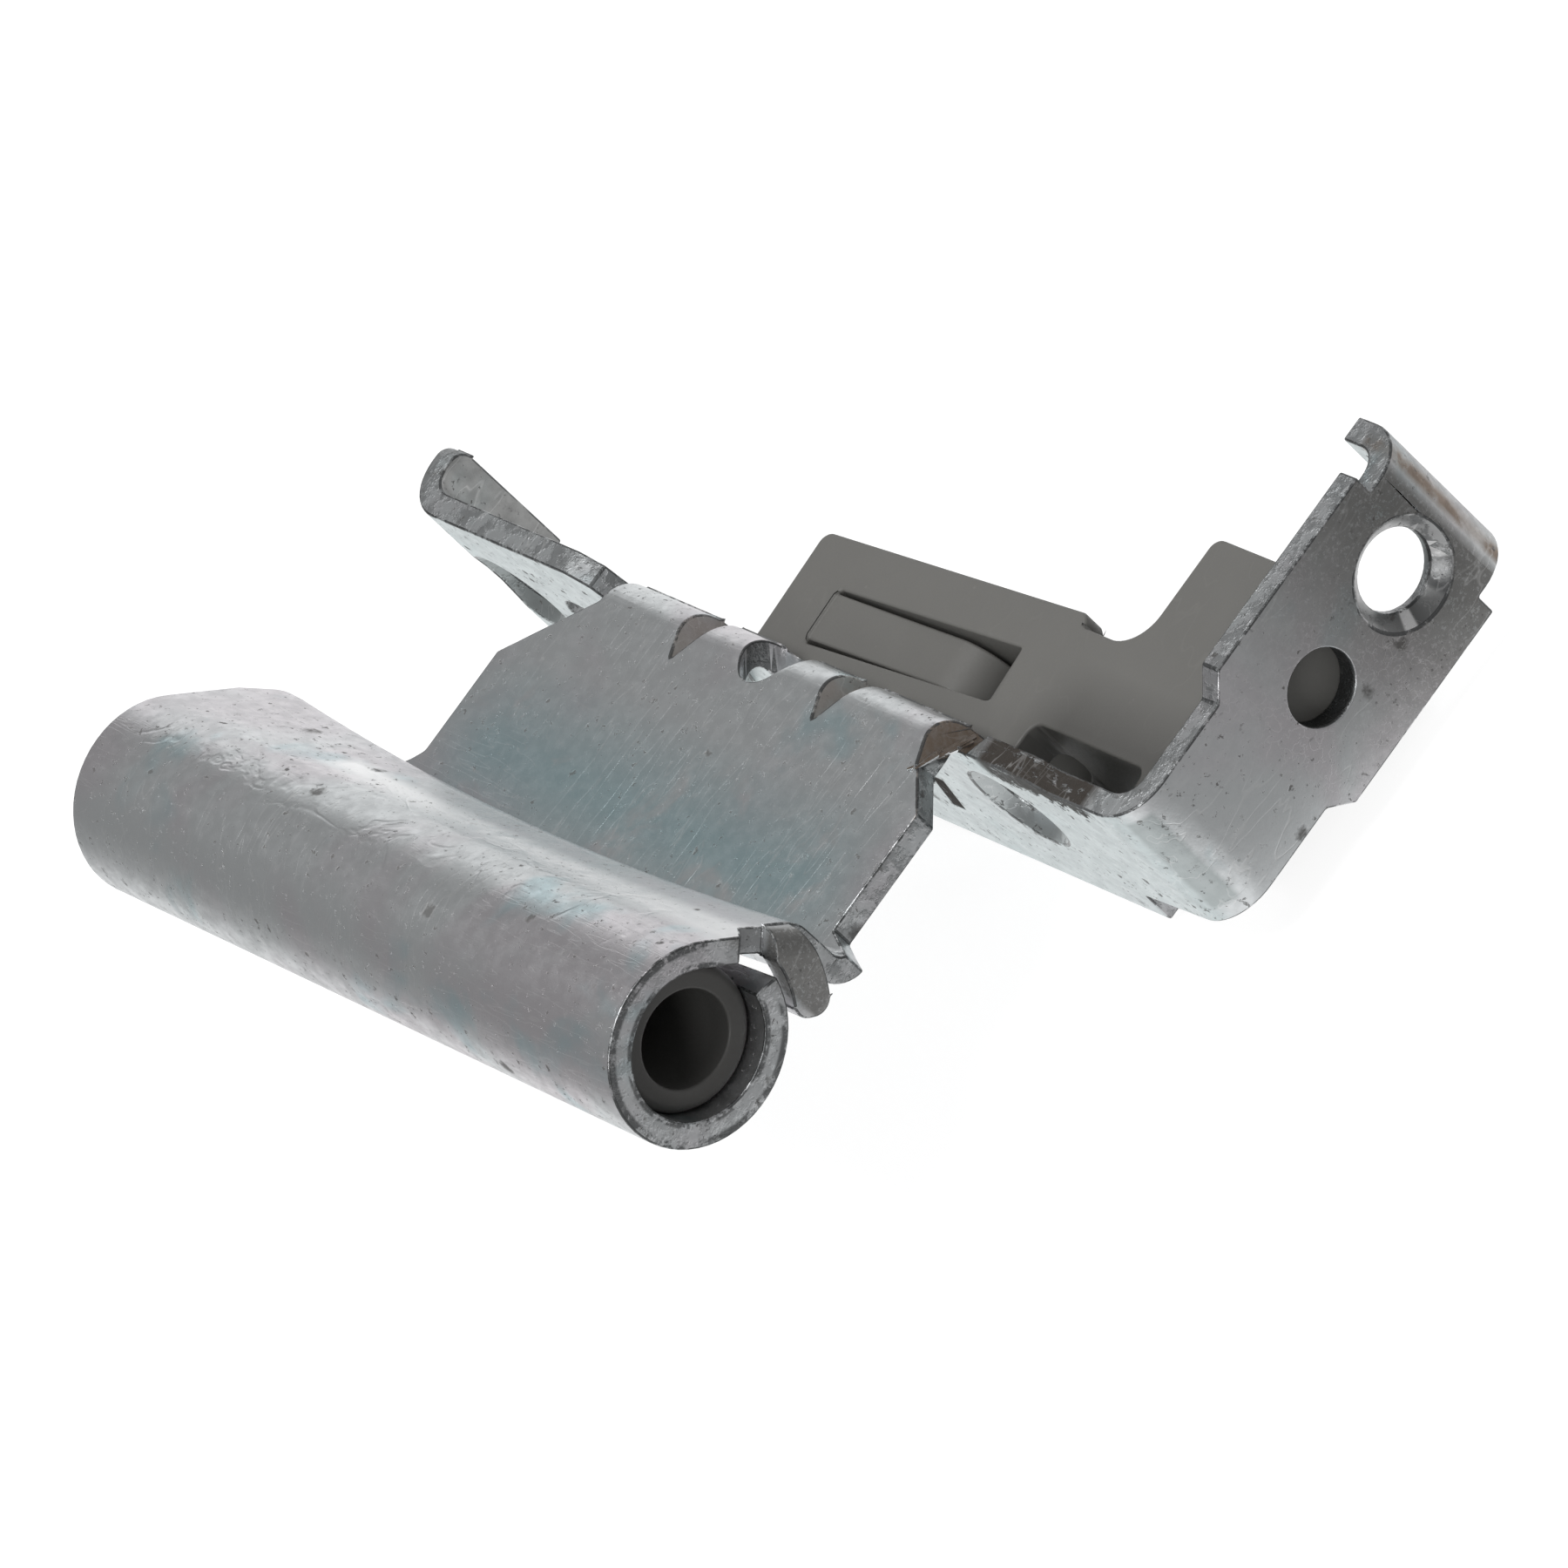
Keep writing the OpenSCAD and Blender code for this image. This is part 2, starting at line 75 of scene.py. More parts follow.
class PlateSettings(bpy.types.PropertyGroup):
    """The folded steel plate"""

    edge_round: FloatProperty(
        name="Edge rounding", description="Width of the soft edge left by tumbling and plating",
        default=0.16 * MM, min=0.02 * MM, max=0.4 * MM, unit="LENGTH", precision=5,
    )
    ridge_bow: FloatProperty(
        name="Ridge bow", description="How far the ridge over the barrel wall bows towards the pin at mid length",
        default=1.5 * MM, min=0.0, max=2.0 * MM, unit="LENGTH", precision=5,
    )
    slice_step: FloatProperty(
        name="Slice step", description="Distance between the cuts that let the plate bend along the pin",
        default=1.5 * MM, min=0.5 * MM, max=6 * MM, unit="LENGTH", precision=5,
    )
    tear_depth: FloatProperty(
        name="Tear depth", description="Roughness of the torn front edge beside the leaf root",
        default=0.5 * MM, min=0.0, max=1.5 * MM, unit="LENGTH", precision=5,
    )
    zinc: FloatVectorProperty(
        name="Zinc", description="Colour of the bright zinc plating",
        default=(0.71, 0.735, 0.745), subtype="COLOR", size=3, min=0.0, max=1.0,
    )
    teal: FloatVectorProperty(
        name="Teal bloom", description="Colour of the cool bloom of the passivation",
        default=(0.46, 0.66, 0.70), subtype="COLOR", size=3, min=0.0, max=1.0,
    )
    violet: FloatVectorProperty(
        name="Violet bloom", description="Colour of the warm bloom of the passivation",
        default=(0.70, 0.675, 0.70), subtype="COLOR", size=3, min=0.0, max=1.0,
    )
    # Painted reflection: this brown on the dart flanks and along the lip's bend stands in for brown reflections there
    reflection: FloatVectorProperty(
        name="Stain", description="Colour of the brown stain in the pressed darts",
        default=(0.30, 0.24, 0.195), subtype="COLOR", size=3, min=0.0, max=1.0,
    )
    pit: FloatVectorProperty(
        name="Pits", description="Colour of the small dark pits and specks",
        default=(0.09, 0.085, 0.08), subtype="COLOR", size=3, min=0.0, max=1.0,
    )
    # Painted shade and reflection: this grey on the wing's tip, the far lip and the hook stands in for their shade and
    # darker reflections
    painted_shade: FloatVectorProperty(
        name="Soot", description="Colour of the greyed plating on the wing's tip, the far lip and the hook",
        default=(0.25, 0.247, 0.24), subtype="COLOR", size=3, min=0.0, max=1.0,
    )
    # Real grime of the torn front edge, and painted shade in the slit
    grime_and_shade: FloatVectorProperty(
        name="Grime", description="Colour of the torn front edge and of the slit",
        default=(0.045, 0.038, 0.032), subtype="COLOR", size=3, min=0.0, max=1.0,
    )
    flakes: IntProperty(
        name="Flakes", description="Number of metal flakes along the tear", default=26, min=0, max=200,
    )
    roughness: FloatProperty(
        name="Roughness", description="Roughness of the plating",
        default=0.34, min=0.05, max=1.0, subtype="FACTOR",
    )


class PlasticSettings(bpy.types.PropertyGroup):
    """The two moulded plastic pieces"""

    block_colour: FloatVectorProperty(
        name="Block", description="Colour of the corner block",
        default=(0.178, 0.175, 0.165), subtype="COLOR", size=3, min=0.0, max=1.0,
    )
    bush_colour: FloatVectorProperty(
        name="Bush", description="Colour of the pin bush",
        default=(0.135, 0.133, 0.128), subtype="COLOR", size=3, min=0.0, max=1.0,
    )
    edge_round: FloatProperty(
        name="Edge rounding", description="Width of the moulded soft edge",
        default=0.25 * MM, min=0.05 * MM, max=0.5 * MM, unit="LENGTH", precision=5,
    )
    roughness: FloatProperty(
        name="Roughness", description="Roughness of the moulded surface",
        default=0.48, min=0.1, max=1.0, subtype="FACTOR",
    )


class StageSettings(bpy.types.PropertyGroup):
    """Camera, lamps and floor"""

    azimuth: FloatProperty(
        name="Azimuth", description="Direction of the camera from the part, from +X towards +Y",
        default=math.radians(-11.473), subtype="ANGLE",
    )
    elevation: FloatProperty(
        name="Elevation", description="Height of the camera above the leaf's plane",
        default=math.radians(36.094), subtype="ANGLE",
    )
    roll: FloatProperty(
        name="Roll", description="Turn of the camera about its own axis",
        default=math.radians(47.2), subtype="ANGLE",
    )
    distance: FloatProperty(
        name="Distance", description="Distance from the camera to its aim",
        default=1210 * MM, min=0.3, max=5.0, unit="LENGTH",
    )
    aim: FloatVectorProperty(
        name="Aim", description="Point at the middle of the picture",
        default=(14.45 * MM, 21.72 * MM, -7.98 * MM), subtype="XYZ", size=3, precision=5,
    )
    lens: FloatProperty(name="Lens", description="Focal length in mm", default=395.04, min=20, max=1000)
    sensor: FloatProperty(name="Sensor", description="Width of the sensor in mm", default=36.0, min=8, max=100)
    floor_gap: FloatProperty(
        name="Floor gap", description="Distance from the lowest edge to the floor",
        default=0.6 * MM, min=0.0, max=20 * MM, unit="LENGTH", precision=5,
    )
    floor_size: FloatProperty(
        name="Floor size", description="Side of the square floor",
        default=8.0, min=1.0, max=40.0, unit="LENGTH",
    )
    floor_shade: FloatProperty(
        name="Floor shade", description="Brightness of the floor in front of the part, as metal shows it",
        default=0.36, min=0.0, max=1.0, subtype="FACTOR",
    )
    sky: FloatProperty(
        name="Sky", description="Brightness of the studio above the horizon, as metal shows it",
        default=0.28, min=0.0, max=1.0, subtype="FACTOR",
    )
    fill: FloatProperty(
        name="Fill", description="Brightness of the studio for matt surfaces",
        default=0.36, min=0.0, max=2.0,
    )


# Meshes


def merged_copy(node, name, merge=0.002 * MM, flat_angle=0.2):
    """A copy of a CAD node's mesh with its doubles merged and its flat faces joined."""
    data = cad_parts[node].data.copy()
    data.name = name
    bm = bmesh.new()
    bm.from_mesh(data)
    bmesh.ops.remove_doubles(bm, verts=bm.verts, dist=merge)
    bmesh.ops.dissolve_limit(
        bm, angle_limit=math.radians(flat_angle), verts=bm.verts, edges=bm.edges, use_dissolve_boundaries=False
    )
    bm.to_mesh(data)
    bm.free()
    obj = bpy.data.objects.new(name, data)
    bpy.context.scene.collection.objects.link(obj)
    return obj


def baked(obj):
    """Turns the object's modifiers into plain mesh."""
    bpy.context.view_layer.update()
    dg = bpy.context.evaluated_depsgraph_get()
    made = bpy.data.meshes.new_from_object(obj.evaluated_get(dg))
    made.name = obj.name
    old = obj.data
    obj.modifiers.clear()
    obj.data = made
    bpy.data.meshes.remove(old)
    return obj


def rounded(obj, width, angle=32, segments=2):
    """Rounds the edges; the new faces get the second material place."""
    obj.data.materials.clear()
    for _ in range(2):
        obj.data.materials.append(None)
    bevel = obj.modifiers.new("soft edges", "BEVEL")
    bevel.material = 1
    bevel.width = width
    bevel.segments = segments
    bevel.limit_method = "ANGLE"
    bevel.angle_limit = math.radians(angle)
    bevel.use_clamp_overlap = False
    bevel.miter_outer = "MITER_ARC"
    return baked(obj)


def torn_flakes(obj, count):
    """Adds small flakes of metal along the torn line, as instances of one shard."""
    tree = bpy.data.node_groups.new("torn flakes", "GeometryNodeTree")
    for title, kind, direction in (("Plate", "NodeSocketGeometry", "INPUT"), ("Count", "NodeSocketInt", "INPUT"),
                                   ("Length", "NodeSocketFloat", "INPUT"), ("Seed", "NodeSocketInt", "INPUT"),
                                   ("Plate", "NodeSocketGeometry", "OUTPUT")):
        tree.interface.new_socket(name=title, in_out=direction, socket_type=kind)
    given, out = node_of(tree, "NodeGroupInput"), node_of(tree, "NodeGroupOutput")
    line = node_of(tree, "GeometryNodeMeshLine", mode="END_POINTS")
    line.inputs["Start Location"].default_value = [c * MM for c in TEAR_START]
    line.inputs["Offset"].default_value = [c * MM for c in TEAR_END]
    tree.links.new(given.outputs["Count"], line.inputs["Count"])
    shake = node_of(tree, "FunctionNodeRandomValue", data_type="FLOAT_VECTOR")
    shake.inputs[0].default_value = (-0.12 * MM, -0.3 * MM, -0.2 * MM)
    shake.inputs[1].default_value = (0.15 * MM, 0.3 * MM, 0.2 * MM)
    tree.links.new(given.outputs["Seed"], shake.inputs["Seed"])
    place = node_of(tree, "GeometryNodeSetPosition")
    tree.links.new(line.outputs[0], place.inputs["Geometry"])
    tree.links.new(shake.outputs[0], place.inputs["Offset"])
    shard = node_of(tree, "GeometryNodeMeshCone")
    for key, value in (("Vertices", 5), ("Radius Top", 0.07 * MM), ("Radius Bottom", 0.2 * MM)):
        shard.inputs[key].default_value = value
    tree.links.new(given.outputs["Length"], shard.inputs["Depth"])
    spin = node_of(tree, "FunctionNodeRandomValue", data_type="FLOAT_VECTOR")
    spin.inputs[0].default_value = (0.85, -0.15, -0.15)
    spin.inputs[1].default_value = (1.1, 0.15, 0.15)
    tree.links.new(given.outputs["Seed"], spin.inputs["Seed"])
    size = node_of(tree, "FunctionNodeRandomValue", data_type="FLOAT")
    size.inputs[2].default_value, size.inputs[3].default_value = 0.5, 1.5
    tree.links.new(given.outputs["Seed"], size.inputs["Seed"])
    copies = node_of(tree, "GeometryNodeInstanceOnPoints")
    for target, source in ((copies.inputs["Points"], place.outputs[0]), (copies.inputs["Instance"], shard.outputs[0]),
                           (copies.inputs["Rotation"], spin.outputs[0]), (copies.inputs["Scale"], size.outputs[1])):
        tree.links.new(source, target)
    real = node_of(tree, "GeometryNodeRealizeInstances")
    tree.links.new(copies.outputs[0], real.inputs[0])
    metal = node_of(tree, "GeometryNodeSetMaterial")
    tree.links.new(real.outputs[0], metal.inputs["Geometry"])
    metal.inputs["Material"].default_value = obj.data.materials[0]
    both = node_of(tree, "GeometryNodeJoinGeometry")
    tree.links.new(metal.outputs[0], both.inputs[0])
    tree.links.new(given.outputs["Plate"], both.inputs[0])
    tree.links.new(both.outputs[0], out.inputs[0])
    modifier = obj.modifiers.new("torn flakes", "NODES")
    modifier.node_group = tree
    for socket in tree.interface.items_tree:
        value = {"Count": count, "Length": 1.5 * MM, "Seed": 7}.get(socket.name)
        if value is not None:
            modifier[socket.identifier] = value
    return baked(obj)


def marked_faces(obj, thickness):
    """Writes two face values for the material: rounded rims, and cut edges, where the sheet is deep behind a face."""
    mesh = obj.data
    rim = mesh.attributes.new("rim", "FLOAT", "FACE")
    cut = mesh.attributes.new("cut_edge", "FLOAT", "FACE")
    tree = BVHTree.FromPolygons([v.co for v in mesh.vertices], [tuple(p.vertices) for p in mesh.polygons])
    deep, total = [0.0] * len(mesh.polygons), [0.0] * len(mesh.polygons)
    mesh.calc_loop_triangles()
    for tri in mesh.loop_triangles:
        inward = -mesh.polygons[tri.polygon_index].normal
        middle = sum((mesh.vertices[i].co for i in tri.vertices), Vector()) / 3
        hit = tree.ray_cast(middle + inward * 0.02 * MM, inward)
        total[tri.polygon_index] += tri.area
        if hit[3] is None or hit[3] > thickness:
            deep[tri.polygon_index] += tri.area
    for face in mesh.polygons:
        rim.data[face.index].value = float(face.material_index == 1)
        cut.data[face.index].value = float(deep[face.index] > 0.5 * total[face.index])
        face.material_index = 0


def smooth_by_angle(obj, angle=40):
    """Smooth shading with hard breaks only where faces meet at more than the angle."""
    mesh = obj.data
    mesh.shade_smooth()
    mesh.set_sharp_from_angle(angle=math.radians(angle))
    weigh = obj.modifiers.new("even normals", "WEIGHTED_NORMAL")
    weigh.keep_sharp = True
    weigh.weight = 50
    return obj


def dress(obj, node, material):
    obj.data.materials.clear()
    obj.data.materials.append(material)
    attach(obj, "root")
    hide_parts(node)


def sliced(bm, axis, start, stop, step):
    """Cuts every face by planes across the axis."""
    normal = Vector([float(i == axis) for i in range(3)])
    count = int((stop - start) / step)
    for i in range(count + 1):
        at = normal * (start + i * step)
        geom = list(bm.verts) + list(bm.edges) + list(bm.faces)
        bmesh.ops.bisect_plane(bm, geom=geom, dist=1e-7, plane_co=at, plane_no=normal)


def eased(value, low, high):
    t = min(max((value - low) / (high - low), 0.0), 1.0)
    return t * t * (3 - 2 * t)


# Materials


def node_of(tree, kind, **values):
    made = tree.nodes.new(kind)
    for key, value in values.items():
        setattr(made, key, value)
    return made


def linked(tree, target, value):
    """Links a socket, or sets a plain value."""
    if isinstance(value, bpy.types.NodeSocket):
        tree.links.new(value, target)
    elif isinstance(value, (tuple, list)) and len(target.default_value) == 4 and len(value) == 3:
        target.default_value = (*value, 1.0)
    else:
        target.default_value = value


def maths(tree, operation, a, b=None, clamp=False):
    made = node_of(tree, "ShaderNodeMath", operation=operation, use_clamp=clamp)
    linked(tree, made.inputs[0], a)
    if b is not None:
        linked(tree, made.inputs[1], b)
    return made.outputs[0]


def mixed(tree, mask, a, b):
    made = node_of(tree, "ShaderNodeMix", data_type="RGBA")
    linked(tree, made.inputs[0], mask)
    linked(tree, made.inputs[6], a)
    linked(tree, made.inputs[7], b)
    return made.outputs[2]


def ranged(tree, value, low, high, to_low=0.0, to_high=1.0):
    made = node_of(tree, "ShaderNodeMapRange", interpolation_type="SMOOTHSTEP")
    for socket, number in zip(made.inputs[:5], (value, low, high, to_low, to_high)):
        linked(tree, socket, number)
    return made.outputs[0]


def noise_of(tree, vector, scale, detail=3.0, roughness=0.55, distortion=0.0):
    made = node_of(tree, "ShaderNodeTexNoise")
    linked(tree, made.inputs["Vector"], vector)
    for key, value in (("Scale", scale), ("Detail", detail), ("Roughness", roughness), ("Distortion", distortion)):
        linked(tree, made.inputs[key], value)
    return made.outputs["Fac"]


def in_millimetres(tree, stretch=(1, 1, 1)):
    """Object coordinates in mm, stretched along the axes."""
    place = node_of(tree, "ShaderNodeTexCoord")
    scale = node_of(tree, "ShaderNodeMapping")
    scale.inputs["Scale"].default_value = [s / MM for s in stretch]
    tree.links.new(place.outputs["Object"], scale.inputs["Vector"])
    return scale.outputs["Vector"]


def new_group(name, inputs, outputs):
    """A shader node group with its sockets; inputs and outputs are (name, kind, default)."""
    tree = bpy.data.node_groups.new(name, "ShaderNodeTree")
    for direction, sockets in (("INPUT", inputs), ("OUTPUT", outputs)):
        for title, kind, default in sockets:
            socket = tree.interface.new_socket(name=title, in_out=direction, socket_type=kind)
            if default is not None:
                socket.default_value = default
    return tree, node_of(tree, "NodeGroupInput"), node_of(tree, "NodeGroupOutput")


def placed_group(tree, group, **values):
    made = node_of(tree, "ShaderNodeGroup", node_tree=group)
    for key, value in values.items():
        linked(tree, made.inputs[key.replace("_", " ")], value)
    return made


VALUE, VECTOR = "NodeSocketFloat", "NodeSocketVector"


def speck_group():
    """Scattered specks: cells of which a share is filled, each with a soft edge."""
    tree, given, out = new_group(
        "specks",
        [("Vector", VECTOR, None), ("Spacing", VALUE, 1.0), ("Share", VALUE, 0.3), ("Size", VALUE, 0.2)],
        [("Mask", VALUE, None)],
    )
    cells = node_of(tree, "ShaderNodeTexVoronoi", feature="F1")
    tree.links.new(given.outputs["Vector"], cells.inputs["Vector"])
    linked(tree, cells.inputs["Scale"], maths(tree, "DIVIDE", 1.0, given.outputs["Spacing"]))
    split = node_of(tree, "ShaderNodeSeparateColor")
    tree.links.new(cells.outputs["Color"], split.inputs[0])
    chosen = maths(tree, "LESS_THAN", split.outputs[0], given.outputs["Share"])
    reach = maths(tree, "MULTIPLY", given.outputs["Size"], maths(tree, "ADD", split.outputs[1], 0.35))
    near = maths(tree, "SUBTRACT", 1.0, maths(tree, "DIVIDE", cells.outputs["Distance"], reach), clamp=True)
    linked(tree, out.inputs["Mask"], maths(tree, "MULTIPLY", chosen, near, clamp=True))
    return tree


def scratch_group():
    """Fine scratches: thin lines of stretched noise, broken up by a coarser one."""
    tree, given, out = new_group(
        "scratches",
        [("Vector", VECTOR, None), ("Scale", VALUE, 1.0), ("Amount", VALUE, 0.5)],
        [("Mask", VALUE, None)],
    )
    lines = noise_of(tree, given.outputs["Vector"], given.outputs["Scale"], 2.0, 0.5)
    thin = ranged(tree, maths(tree, "ABSOLUTE", maths(tree, "SUBTRACT", lines, 0.5)), 0.0, 0.018, 1.0, 0.0)
    linked(tree, out.inputs["Mask"], maths(tree, "MULTIPLY", thin, given.outputs["Amount"], clamp=True))
    return tree


def edge_group():
    """Where the surface turns sharply: the rounded edge's normal against the true one."""
    tree, given, out = new_group("worn edges", [("Radius", VALUE, 0.0003)], [("Mask", VALUE, None)])
    bevel = node_of(tree, "ShaderNodeBevel", samples=4)
    tree.links.new(given.outputs["Radius"], bevel.inputs["Radius"])
    geometry = node_of(tree, "ShaderNodeNewGeometry")
    dot = node_of(tree, "ShaderNodeVectorMath", operation="DOT_PRODUCT")
    tree.links.new(bevel.outputs[0], dot.inputs[0])
    tree.links.new(geometry.outputs["Normal"], dot.inputs[1])
    linked(tree, out.inputs["Mask"], ranged(tree, dot.outputs["Value"], 0.9, 0.995, 1.0, 0.0))
    return tree


GROUPS = {}


def shared_groups():
    if not GROUPS:
        GROUPS.update(specks=speck_group(), scratches=scratch_group(), edges=edge_group())
    return GROUPS


def new_material(name):
    made = bpy.data.materials.new(name)
    made.use_nodes = True
    tree = made.node_tree
    return made, tree, tree.nodes["Principled BSDF"]


def box_mask(tree, split, low, high, soft):
    """1 inside a box in mm, fading out over the soft distance."""
    mask = None
    for axis in range(3):
        if low[axis] is None and high[axis] is None:
            continue
        for edge, side in ((low[axis], 1), (high[axis], -1)):
            if edge is None:
                continue
            ends = (edge - soft, edge + soft) if side > 0 else (edge + soft, edge - soft)
            part = node_of(tree, "ShaderNodeMapRange", interpolation_type="LINEAR")
            for socket, number in zip(part.inputs[:5], (split[axis], *ends, 0.0, 1.0)):
                linked(tree, socket, number)
            mask = part.outputs[0] if mask is None else maths(tree, "MULTIPLY", mask, part.outputs[0])
    return mask


def split_of(tree, vector):
    made = node_of(tree, "ShaderNodeSeparateXYZ")
    linked(tree, made.inputs[0], vector)
    return made.outputs[:3]


def attribute_of(tree, name):
    return node_of(tree, "ShaderNodeAttribute", attribute_name=name, attribute_type="GEOMETRY").outputs["Fac"]


def times(tree, *values):
    made = values[0]
    for value in values[1:]:
        made = maths(tree, "MULTIPLY", made, value)
    return made


def greatest(tree, *values):
    made = values[0]
    for value in values[1:]:
        made = maths(tree, "MAXIMUM", made, value)
    return made


def zinc_material(s):
    made, tree, shader = new_material("zinc plated steel")
    groups = shared_groups()
    place = in_millimetres(tree)
    xyz = split_of(tree, place)
    facing = split_of(tree, node_of(tree, "ShaderNodeNewGeometry").outputs["Normal"])
    rim = attribute_of(tree, "rim")
    cut = attribute_of(tree, "cut_edge")
    cloud = noise_of(tree, place, 0.055, 3.0, 0.6, 0.4)
    patch = noise_of(tree, place, 0.16, 4.0, 0.6, 0.6)
    mottle = noise_of(tree, place, 0.9, 4.0, 0.65)
    grain = noise_of(tree, place, 4.5, 3.0, 0.6)
    dark = tuple(0.16 * c for c in s.zinc)

    # Blooms of the passivation: violet patches all over, and teal mainly along the foot of the leaf
    colour = mixed(tree, ranged(tree, cloud, 0.42, 0.62), tuple(s.zinc), tuple(s.violet))
    foot = box_mask(tree, xyz, (-20, 11, -9), (27, 19.5, None), 3.5)
    bloom = times(tree, foot, ranged(tree, patch, 0.28, 0.46), ranged(tree, facing[2], 0.5, 0.9))
    patches = ranged(tree, noise_of(tree, place, 0.1, 3.0, 0.6, 0.3), 0.56, 0.72, 0.0, 0.6)
    colour = mixed(tree, greatest(tree, bloom, patches), colour, tuple(s.teal))

    strip = times(tree, ranged(tree, facing[1], -0.7, -0.95), ranged(tree, xyz[1], 24.0, 27.0))
    colour = mixed(tree, times(tree, strip, 0.75), colour, STRIP_TINT)

    # Fine mottling of the zinc
    tone = ranged(tree, mottle, 0.3, 0.7, 0.0, 0.26)
    colour = mixed(tree, tone, colour, tuple(0.62 * c for c in s.zinc))

    # Painted shade and reflection: the wing is painted grey towards its tip, with bright flecks left in it; so are the
    # far lip, the hook and, at half strength, the lip's bend
    wing = times(tree, box_mask(tree, xyz, (42, None, None), (None, None, None), 1.0),
                 ranged(tree, xyz[1], 38.0, 59.0), ranged(tree, facing[0], 0.86, 0.97))
    lip = times(tree, box_mask(tree, xyz, (None, 30, None), (-38, None, None), 2.0), ranged(tree, facing[0], 0.2, 0.7))
    hook = box_mask(tree, xyz, (33.5, 6.8, None), (None, 14, None), 0.4)
    bend = box_mask(tree, xyz, (42, 61.4, None), (None, None, None), 0.6)
    flecks = ranged(tree, noise_of(tree, place, 3.4, 3.0, 0.7), 0.54, 0.62)
    painted_shade = times(tree, greatest(tree, wing, hook, times(tree, bend, 0.5)), ranged(tree, flecks, 0, 1, 0.95, 0.68))
    painted_shade = greatest(tree, painted_shade, times(tree, lip, 0.8))
    colour = mixed(tree, painted_shade, colour, tuple(s.painted_shade))

    # Painted reflection: the countersink is painted near white, with darker wedges round its axis
    cone_glare = times(tree, box_mask(tree, xyz, (42, 50.5, -24), (None, 60.5, -12), 0.3),
                 ranged(tree, facing[0], 0.95, 0.8), ranged(tree, facing[0], 0.1, 0.3))
    angle = maths(tree, "ARCTAN2", maths(tree, "ADD", xyz[2], 17.9), maths(tree, "SUBTRACT", xyz[1], 56.7))
    glare_sectors = node_of(tree, "ShaderNodeValToRGB")
    turn = maths(tree, "ADD", maths(tree, "DIVIDE", angle, 2 * math.pi), 0.5)
    linked(tree, glare_sectors.inputs[0], turn)
    for place_of, level in CONE_REFLECTION_SECTORS:
        stop = glare_sectors.color_ramp.elements.new(place_of)
        stop.color = (level, level, level, 1.0)
    for spare in list(glare_sectors.color_ramp.elements)[:1] + list(glare_sectors.color_ramp.elements)[-1:]:
        spare.color = (0.6, 0.6, 0.6, 1.0)
    dark_cone_reflection = times(tree, cone_glare, glare_sectors.outputs[0])
    colour = mixed(tree, cone_glare, colour, (0.98, 0.98, 0.98))
    colour = mixed(tree, dark_cone_reflection, colour, dark)

    # Painted reflection: brown on the flanks of the pressed darts, chosen by the way they face, and in a band along
    # the bend of the wing's lip
    flank = times(tree, ranged(tree, maths(tree, "ABSOLUTE", facing[0]), 0.22, 0.4),
                  ranged(tree, maths(tree, "ADD", facing[1], facing[2]), 0.1, 0.3))
    crest = box_mask(tree, xyz, (-12, 23, -15), (31, 33, None), 0.6)
    hole = box_mask(tree, xyz, (0.5, 23, None), (8.5, 33, None), 0.4)
    reflection = times(tree, flank, crest, maths(tree, "SUBTRACT", 1.0, hole), maths(tree, "SUBTRACT", 1.0, cut))
    reflection = times(tree, reflection, ranged(tree, xyz[0], 10.0, 26.0, 0.55, 1.0), ranged(tree, mottle, 0.2, 0.6, 0.75, 1.0))
    streak = box_mask(tree, xyz, (42, 61.5, None), (None, 62.5, None), 0.3)
    reflection = greatest(tree, reflection, times(tree, streak, ranged(tree, patch, 0.4, 0.5, 0.45, 0.95)))
    colour = mixed(tree, reflection, colour, tuple(s.reflection))

    # Painted highlight: the flare beside the ridge is painted near white where it faces +Y
    flare_highlight = times(tree, box_mask(tree, xyz, (-16, 6.3, 1.0), (None, 9.6, None), 0.7), ranged(tree, facing[1], 0.45, 0.6))
    colour = mixed(tree, flare_highlight, colour, (0.97, 0.975, 0.98))

    # Cut edges: rougher, darker, with a torn half
    tear = ranged(tree, noise_of(tree, in_millimetres(tree, (0.8, 0.8, 0.8)), 0.8, 4.0, 0.7), 0.42, 0.58)
    ring = maths(tree, "SUBTRACT", 1.0, times(tree, ranged(tree, facing[0], 0.5, 0.8),
                                            ranged(tree, xyz[1], 8.0, 10.0, 0.4, 0.0)))
    raw = times(tree, cut, ranged(tree, tear, 0.0, 1.0, 0.5, 0.85), ring)
    colour = mixed(tree, raw, colour, tuple(0.4 * c for c in s.zinc))
    # Painted shade: the cut walls of the wing's plain hole, and at 0.6 those of the crest hole, are darkened
    wall = times(tree, cut, box_mask(tree, xyz, (42, 43.5, -22), (45.8, 50, -14), 0.2))
    wall = greatest(tree, wall, times(tree, cut, hole, 0.6))
    colour = mixed(tree, wall, colour, dark)

    # The barrel's end: broken black lines beside its outer and inner edge
    radius = node_of(tree, "ShaderNodeVectorMath", operation="LENGTH")
    linked(tree, radius.inputs[0], in_millimetres(tree, (0, 1, 1)))
    outer = ranged(tree, radius.outputs["Value"], 6.75, 7.0)
    inner = ranged(tree, radius.outputs["Value"], 6.05, 5.85)
    lines = times(tree, greatest(tree, outer, inner), cut, box_mask(tree, xyz, (34.4, None, -9), (None, 6, None), 0.1))
    lines = times(tree, lines, ranged(tree, noise_of(tree, place, 0.5, 4.0, 0.7), 0.44, 0.54))
    colour = mixed(tree, times(tree, lines, 0.85), colour, dark)

